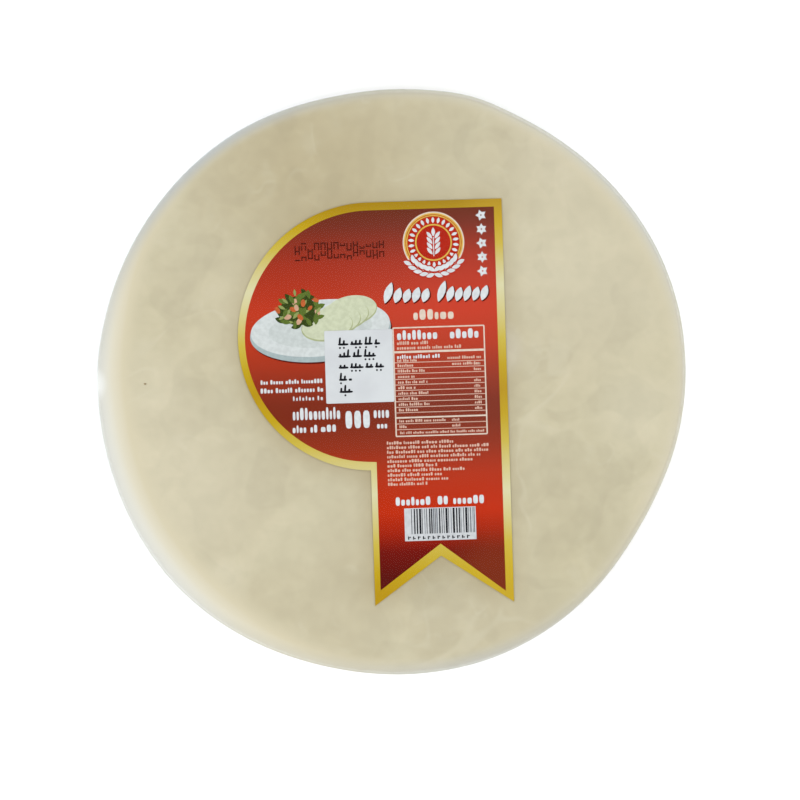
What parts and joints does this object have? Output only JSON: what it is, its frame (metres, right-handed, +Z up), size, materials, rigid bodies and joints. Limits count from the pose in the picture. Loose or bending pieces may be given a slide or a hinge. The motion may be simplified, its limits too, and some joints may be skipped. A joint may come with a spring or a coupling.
{
  "type": "rice paper wrapper stack",
  "caption": "Flat round stack of dry rice paper sheets in clear shrink film, with a red and gold swallow-tailed paper label and a small white sticker.",
  "frame": {"origin": "middle of the pack's underside, at the centre of its box, on the surface it lies on", "axes": "+Z up out of the labelled face, +Y towards the label's top edge, +X towards the label's straight side"},
  "size_m": [0.2254, 0.2238, 0.0144],
  "materials": {
    "rice_paper_in_film": "cream, cloudy dry rice paper seen through clear glossy shrink film",
    "printed_label": "smooth printed paper, red shading to deep red, with a gold edge and white print",
    "white_sticker": "matte white sticker with black print",
    "clear_film": "clear glossy shrink film"
  },
  "bodies": {
    "root": {"wrapped_sheets": "rice_paper_in_film", "label": "printed_label", "sticker": "white_sticker"}
  },
  "joints": []
}
